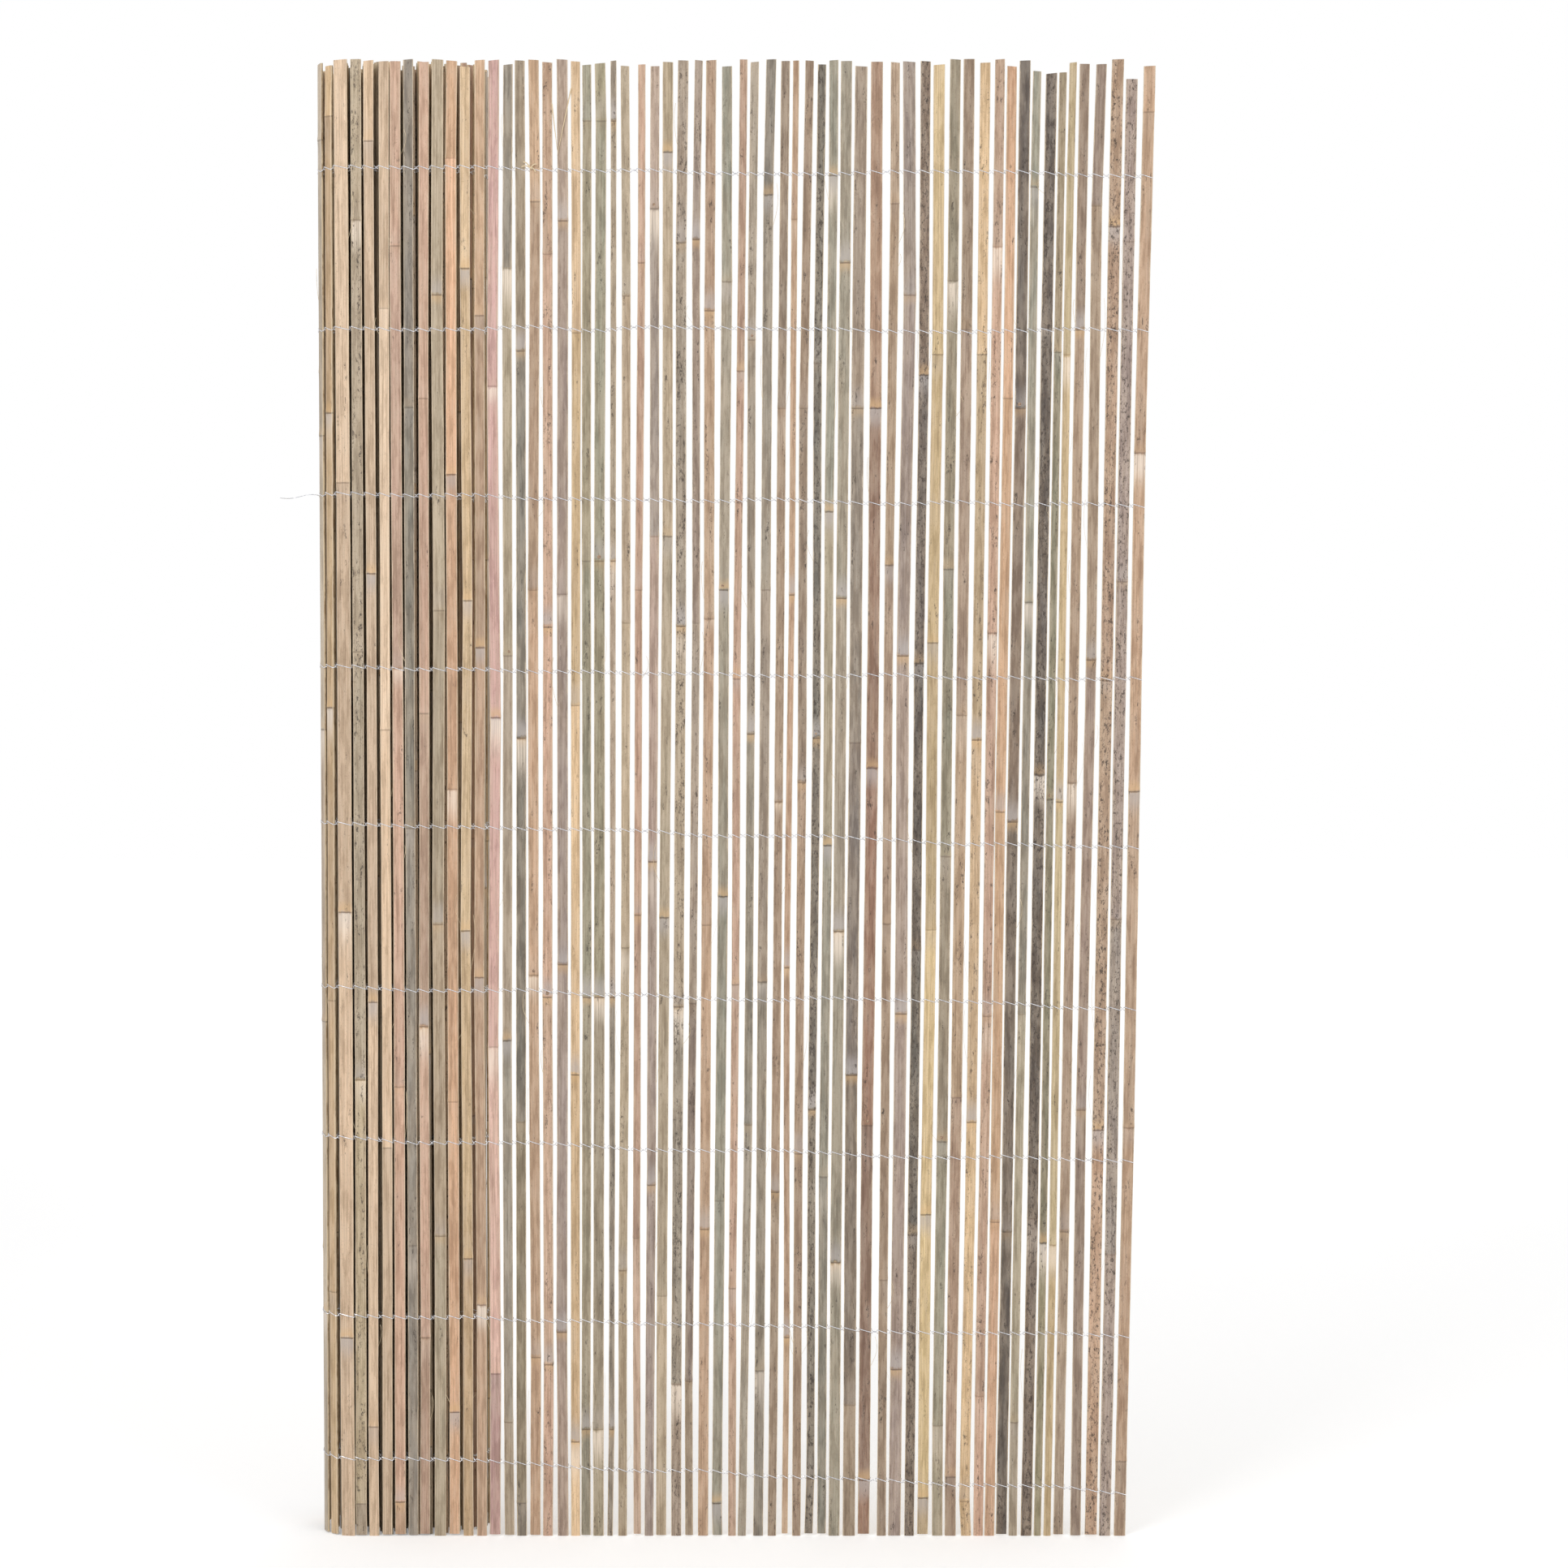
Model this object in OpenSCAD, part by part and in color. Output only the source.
// Split bamboo screen, partly unrolled, standing on the ends of its slats.
// Seen from above: the opened flap runs along +X, and the roll lies behind its left end.
// The slats' skin side looks along -Y on the flap and outwards on the roll.

/* [Slats] */
// Height of the screen, which is the length of its longest slats
screen_h = 1800; // [1000:50:2000]
// Mean width of a slat
slat_w = 11; // [10:0.2:11.2]
// Thickness of a slat, measured at its edges
slat_t = 2.6; // [2:0.1:3.4]
// How far the skin side is crowned over the edges
crown = 0.6; // [0.3:0.1:0.9]
// Distance from the middle of one slat to the next
slat_pitch = 17; // [17:0.1:20]
// How much shorter the shortest ordinary slats are
uneven_top = 9; // [0:1:25]
// How far the feet of ordinary slats stand off the ground at most
uneven_foot = 3; // [0:0.5:6]

/* [Nodes of the bamboo] */
// Mean distance from one node to the next on a slat
node_spacing = 430; // [350:10:600]
// How far a node stands out from the slat
ridge = 0.5; // [0.2:0.1:0.7]
// Height over which a node rises
ridge_rise = 5; // [3:1:10]
// Sideways kink of a slat at its nodes, where the neighbours leave room
kink = 2.2; // [0:0.2:3]

/* [Roll] */
// Width of the loosely flattened roll over the slats
roll_w = 212; // [196:2:240]
// Depth of the roll over the slats
roll_depth = 162; // [150:2:190]
// Bending radius of the outermost turn at its first corner
corner_r = 38; // [30:1:60]
// How much rounder each next corner is, on the way in
corner_growth = 8; // [4:1:14]
// Distance from one turn to the next
turn_pitch = 7.6; // [7.4:0.1:8.4]

/* [Wires] */
// Diameter of the galvanised wire
wire_d = 0.9; // [0.7:0.1:1.2]
// Number of wire rows
wire_rows = 9; // [9:1:9]
// Height of the lowest wire row at the loose end of the wire, if the rows were even
first_row = 98; // [80:1:150]
// Distance from the screen's top to the highest wire row there
top_margin = 140; // [60:1:200]
// Mean fall of the rows towards the free end, in degrees
row_fall = 1.3; // [0:0.1:1.5]
// Clearance between a wire and a slat
wire_fit = 0.3; // [0.2:0.05:0.4]
// How far the loose end of one wire stands out from the roll
tail_l = 52; // [20:1:60]
// Wire row that has the loose end, counted from the top
tail_row = 3; // [1:1:9]

/* [Opened flap] */
// How much nearer to the roll the free end stands at its foot than at its top
foot_draw = 28; // [0:1:30]
// Place of the first flap slat, from the line where the flap leaves the roll
flap_start = 114; // [114:1:130]

/* [Hidden] */
wire_names = [for (k = [1:9]) str("wire_row_", k)];
flap_names = [for (k = [1:4]) str("flap_slats_", k)];
turn_names = [for (k = [1:7]) str("roll_turn_", k)];

bamboo_colour = "burlywood";
wire_colour = "silver";

// The slats that the flap and the roll's front show, from the roll's left side to the free end.
// How much wider or narrower than the mean each is, how far it is off the even pitch, and the
// height of one of its nodes.
seen_extra_w = [
    3, 0, 6, 2, 1, 1, 2, 1, 1, 3, 2, 1, 1,
    2, 0.5, 1, 1.5, 1, 2, 0, 0, 2, -4, -0.5, -2,
    0, 1.5, 1.5, -1.5, 1.5, 1.5, -1.5, -1, 1, -0.5, -3.5, -0.5,
    -1, 0, 2.5, 4, 3.5, 0, 4, 1, 2.5, 2, 2.5, 1.5,
    1, 1, 2.5, -1, 2.5, -2, -2, 1, 1.5, 3.5, 3, 3
];
seen_shift = [
    0, 1, 2.5, 3, 1.5, 2, 0, -1, -0.5, 0, 0, 0.5, 0.5,
    0.5, 0, -1, -1.5, -2, -1, -2, -5.5, -6.5, -8, -10, -9.5,
    -9, -10.5, -9.5, -8.5, -8.5, -6, -6, -7.5, -5.5, -5, -8, -10,
    -11, -13, -14.5, -13.5, -10.5, -6.5, -5.5, -4, -4.5, -3, -2.5, 0,
    0, -2.5, -4, -6.5, -6, -9, -14, -16.5, -14, -10.5, -10, -7
];
seen_node = [
    990, 1375, 1290, 1085, 1180, 990, 1065, 870, 1010, 1135, 1300, 745, 1090,
    1005, 1080, 980, 1160, 1115, 1155, 1020, 1195, 1195, 1195, 1120, 1160,
    1225, 1225, 1580, 1120, 1125, 1160, 1425, 985, 1160, 1380, 700, 1380,
    980, 1255, 1150, 1380, 1380, 1190, 1080, 1420, 1445, 1185, 1475, 1445,
    1575, 890, 1380, 1145, 935, 905, 1445, 1475, 1075, 1050, 1170, 915
];
// How much higher than evenly spaced each wire row starts, from the top, and its share of the fall
seen_row_shift = [10, 12, 6, -6, 1, -6, 3, -19, 4];
seen_fall = [0.4, 0.2, 0.6, 0.8, 1.5, 1.2, 1.3, 1.2, 2];
// Slats that were cut short, counted like the flap's slats from its first one: number, shortfall
cut_short = [[40, 12], [46, 24], [41, 8], [47, 8], [39, 14]];

flap_slats = 48;
seen_first = flap_slats - len(seen_extra_w);
roll_shift = seen_shift[0];
flap_group = flap_slats / len(flap_names);

// Seen from above the roll is a rectangular spiral whose corners are rounded. Its sides are
// numbered from the front one: front, left, back, right, and again further in. Side j lies
// side_off(j) from the roll's middle, and corner j leads from side j to side j + 1.
side_count = 4 * len(turn_names);
over_layer = slat_t / 2 + crown + ridge;
function side_off(j) = (j % 2 == 0 ? roll_depth : roll_w) / 2 - over_layer - j * turn_pitch / 4;
function corner(j) = min(corner_r + j * corner_growth, side_off(j), side_off(j + 1));
function side_angle(j) = 270 - 90 * j;
function facing(a) = [cos(a), sin(a)];
function corner_middle(j) = facing(side_angle(j)) * (side_off(j) - corner(j))
    + facing(side_angle(j + 1)) * (side_off(j + 1) - corner(j));
function straight(j) = j == 0
    ? side_off(1) - corner(0)
    : side_off(j - 1) + side_off(j + 1) - corner(j - 1) - corner(j);
function side_start(j) = j == 0 ? 0 : side_start(j - 1) + straight(j - 1) + corner(j - 1) * PI / 2;
side_starts = [for (j = [0 : side_count]) side_start(j)];
function side_of(u) = len([for (from = side_starts) if (from <= u) 1]) - 1;

rolled_l = side_starts[side_count];
function even_place(i) = flap_start + i * slat_pitch;
last_slat = flap_slats - 1;
first_slat = -floor((rolled_l + flap_start + roll_shift) / slat_pitch) + 1;
slat_count = last_slat - first_slat + 1;

// Chance values, the same in every build: one row for each trait of the slats
chance_w = rands(-4, 2, slat_count, 11);
chance_place = rands(-0.7, 0.7, slat_count, 12);
chance_foot = rands(-1, 1, slat_count, 13);
chance_top = rands(0, 1, slat_count, 14);
chance_culm = rands(0, 1, slat_count, 15);
chance_kink = rands(-1, 1, slat_count * 8, 16);

function is_seen(i) = i >= seen_first;
function order(i) = i - first_slat;
function width(i) = slat_w + (is_seen(i) ? seen_extra_w[i - seen_first] : chance_w[order(i)]);
function place(i) = even_place(i) + (is_seen(i) ? seen_shift[i - seen_first] : roll_shift + chance_place[order(i)]);
function foot(i) = max(0, chance_foot[order(i)]) * uneven_foot;
function shortfall(i) = let (cut = [for (c = cut_short) if (c[0] == i) c[1]]) len(cut) > 0 ? cut[0] : 0;
function top(i) = screen_h - shortfall(i) - uneven_top * pow(chance_top[order(i)], 2);

// Free space on the narrower side of a slat, and the kink that it leaves room for
function space(i) = place(i + 1) - place(i) - (width(i) + width(i + 1)) / 2;
function least_space(i) = min(i < last_slat ? space(i) : 9, i > first_slat ? space(i - 1) : 9);
wire_gap = wire_d + 2 * wire_fit + 0.2 + foot_draw / flap_slats;
function sway(i) = min(kink, max(0, least_space(i) - wire_gap) / 2);

// Slats split from one culm share the heights of their nodes
culm_slats = 3;
function culm(i) = floor((i - first_slat) / culm_slats);
function culm_spacing(i) = node_spacing * (0.78 + 0.5 * chance_culm[culm(i)]);
function culm_first(i) = culm_spacing(i) * chance_culm[culm(i) + 1];
// The lowest node that leaves a short foot free
least_foot = 40;
function lowest_node(i) = is_seen(i)
    ? least_foot + (seen_node[i - seen_first] - least_foot) % culm_spacing(i)
    : least_foot + culm_first(i);
function node_heights(i) = [for (z = [lowest_node(i) : culm_spacing(i) : top(i) - least_foot]) z];
function kink_at(i, k) = sway(i) * chance_kink[(order(i) * 3 + k) % len(chance_kink)];

// Sideways place of a slat over its height, as pairs of height and offset
function bends(i) = let (nodes = node_heights(i), n = len(nodes)) concat(
    [[foot(i), kink_at(i, 0)]],
    [for (k = [0 : n - 1]) [nodes[k], kink_at(i, k + 1)]],
    [[top(i), kink_at(i, n + 1)]]
);
function drawn_in(i, z) = place(i) > 0 ? -foot_draw * (1 - z / screen_h) * place(i) / even_place(last_slat) : 0;
function sideways(i, z) = lookup(z, bends(i)) + drawn_in(i, z);

// How the screen bends at a length u into the roll: the middle of the bend, the way from there
// to the screen, and the distance
function bend_at(u) = let (
        j = side_of(u),
        past = u - side_starts[j] - straight(j)
    ) [
        corner_middle(j) + facing(side_angle(j + 1)) * min(0, past),
        side_angle(j) - max(0, past) / corner(j) * 180 / PI,
        corner(j)
    ];

// Where the screen is at length s from the line in front of the roll's middle, positive along
// the flap and negative into the roll: x, y and the turn about Z
function along(s) = s >= 0 ? [s, -side_off(0), 0] :
    let (bend = bend_at(-s), at = bend[0] + facing(bend[1]) * bend[2])
        [at[0], at[1], bend[1] - 270];
function turned(p, a) = [p[0] * cos(a) - p[1] * sin(a), p[0] * sin(a) + p[1] * cos(a)];
function on_slat(i, p) = let (at = along(place(i)), q = turned(p, at[2])) [at[0] + q[0], at[1] + q[1]];

// Height of a wire's middle over the middle of the slat, on the skin side and on the back
over_slat = over_layer + wire_fit + wire_d / 2;
under_slat = slat_t / 2 + wire_fit + wire_d / 2;
clear_of_edge = (wire_d + ridge) / 2 + 0.1;
// Half of the space between the two wires where they cross
wire_part = 0.05;

// The origin lies under the middle of the whole thing. A slat at a corner of the roll stands out
// in front of the others, with the wire over its edge.
right_end = place(last_slat) + width(last_slat) / 2;
left_face = -side_off(1) - over_slat;
left_end = left_face - tail_l;
front_end = min([
    for (i = [seen_first : -1]) on_slat(i, [width(i) / 2 + clear_of_edge, -over_slat])[1]
]) - wire_d / 2;
back_end = side_off(2) + over_slat + wire_d / 2;
middle_x = (right_end + left_end) / 2;
middle_y = (front_end + back_end) / 2;

// Section of a slat, with its skin side crowned and towards -Y
function section(w, swell) = [
    [-w / 2, slat_t / 2],
    [-w / 2, -slat_t / 2 - swell],
    [0, -slat_t / 2 - crown - swell],
    [w / 2, -slat_t / 2 - swell],
    [w / 2, slat_t / 2]
];
section_n = 5;

// A kinked slat with its nodes: rings of the section at its ends and on both sides of each node
function rings(i) = let (nodes = node_heights(i)) concat(
    [[foot(i), 0]],
    [for (z = nodes) each [[z - ridge_rise, 0], [z, ridge]]],
    [[top(i), 0]]
);
function ring_points(i) = [
    for (r = rings(i))
        for (p = section(width(i) + r[1], r[1]))
            let (q = on_slat(i, [p[0] + sideways(i, r[0]), p[1]]))
            [q[0] - middle_x, q[1] - middle_y, r[0]]
];
function ring_faces(n, base) = concat(
    [[for (k = [0 : section_n - 1]) base + k]],
    [[for (k = [section_n - 1 : -1 : 0]) base + (n - 1) * section_n + k]],
    [
        for (r = [0 : n - 2], k = [0 : section_n - 1])
            let (a = base + r * section_n, b = (k + 1) % section_n)
            each [
                [a + k, a + section_n + k, a + section_n + b],
                [a + k, a + section_n + b, a + b]
            ]
    ]
);
function running_sum(v, k = 0, sum = 0) = k >= len(v) ? [] : concat([sum], running_sum(v, k + 1, sum + v[k]));

module kinked_slats(list) {
    points = [for (i = list) ring_points(i)];
    bases = running_sum([for (p = points) len(p)]);
    color(bamboo_colour)
        polyhedron(
            points = [for (p = points) each p],
            faces = [
                for (k = [0 : len(points) - 1])
                    each ring_faces(len(points[k]) / section_n, bases[k])
            ]
        );
}

// A slat of the inner turns, which shows only its ends and edges
module plain_slat(i) {
    at = along(place(i));
    translate([at[0] - middle_x, at[1] - middle_y, foot(i)])
        rotate([0, 0, at[2]])
            linear_extrude(height = top(i) - foot(i))
                polygon(section(width(i), 0));
}

module plain_slats(list) {
    color(bamboo_colour)
        for (i = list) plain_slat(i);
}

function turn_of(i) = place(i) >= 0 ? 0 : floor(side_of(-place(i)) / 4);
module roll_turn(n) {
    list = [for (i = [first_slat : -1]) if (turn_of(i) == n - 1) i];
    if (n == 1) kinked_slats(list);
    else plain_slats(list);
}
module flap_part(n) {
    kinked_slats([for (i = [(n - 1) * flap_group : n * flap_group - 1]) i]);
}

function wire_side(front) = front ? -over_slat : under_slat;

// The two wires of a row change sides between one slat and the next, so they lock each slat
function crossing_route(z, phase, fall) = [
    for (i = [last_slat : -1 : seen_first])
        let (
            front = (i + phase) % 2 == 0,
            half = width(i) / 2 + clear_of_edge,
            at = sideways(i, z - (along(place(i))[0] - left_end) * tan(fall))
        )
        each [
            on_slat(i, [at + half, wire_side(front)]),
            if (i > seen_first) on_slat(i, [at - half, wire_side(front)])
        ]
];

// Deeper in the roll one wire follows the outside of the turns and the other the inside. Each
// runs straight past a slat and bends where its lines past two slats meet, so it needs no point
// where two slats stand in line.
function turn_at(i) = bend_at(-place(i))[1];
function line_past(i, off) = let (n = facing(turn_at(i)), at = along(place(i)))
    [n[0], n[1], n * [at[0], at[1]] + off];
function meeting(a, b) = [a[2] * b[1] - b[2] * a[1], a[0] * b[2] - b[0] * a[2]]
    / (a[0] * b[1] - a[1] * b[0]);
function hidden_route(off) = concat(
    [
        for (i = [seen_first : -1 : first_slat + 1])
            if (turn_at(i) != turn_at(i - 1)) meeting(line_past(i, off), line_past(i - 1, off))
    ],
    [on_slat(first_slat, [-width(first_slat) / 2 - clear_of_edge, -off])]
);

// A tilted row is longer than its plan
function tilted(p, fall) = [(p[0] - left_end) / cos(fall), p[1]];

// A wire as a flat band of its own diameter round a route, with mitred corners
function unit(v) = v / norm(v);
function across(v) = [-v[1], v[0]];
function mitre(route, k) = let (
        n = len(route),
        before = across(unit(route[max(k, 1)] - route[max(k, 1) - 1])),
        after = across(unit(route[min(k, n - 2) + 1] - route[min(k, n - 2)])),
        both = unit(before + after)
    ) both / max(0.5, both * before);
function band(route, w) = concat(
    [for (k = [0 : len(route) - 1]) route[k] + mitre(route, k) * w / 2],
    [for (k = [len(route) - 1 : -1 : 0]) route[k] - mitre(route, k) * w / 2]
);

module wire(route, level) {
    translate([0, 0, level])
        linear_extrude(height = wire_d)
            polygon(band(route, wire_d));
}

// One whole wire: it crosses the other one where the slats show, then runs in along the turns
module row_wire(z, phase, off, level, fall) {
    route = concat(crossing_route(z, phase, fall), hidden_route(off));
    wire([for (p = route) tilted(p, fall)], level);
}

// The loose end springs out of the roll's left side
module loose_end(level, fall) {
    route = [
        [left_face, -6],
        [left_face - 0.35 * tail_l, -10],
        [left_face - 0.7 * tail_l, -5],
        [left_face - tail_l, -9]
    ];
    wire([for (p = route) tilted(p, fall)], level);
}

row_step = (screen_h - top_margin - first_row) / (wire_rows - 1);
module wire_row(k) {
    z = screen_h - top_margin - (k - 1) * row_step + seen_row_shift[k - 1];
    fall = row_fall * seen_fall[k - 1];
    color(wire_colour)
        translate([left_end - middle_x, -middle_y, z])
            rotate([0, fall, 0]) {
                row_wire(z, 1, over_slat, wire_part, fall);
                row_wire(z, 0, -under_slat, -wire_d - wire_part, fall);
                if (k == tail_row) loose_end(wire_part, fall);
            }
}

for (k = [1 : len(flap_names)])
    flap_part(k);
for (k = [1 : len(turn_names)])
    roll_turn(k);
for (k = [1 : len(wire_names)])
    wire_row(k);
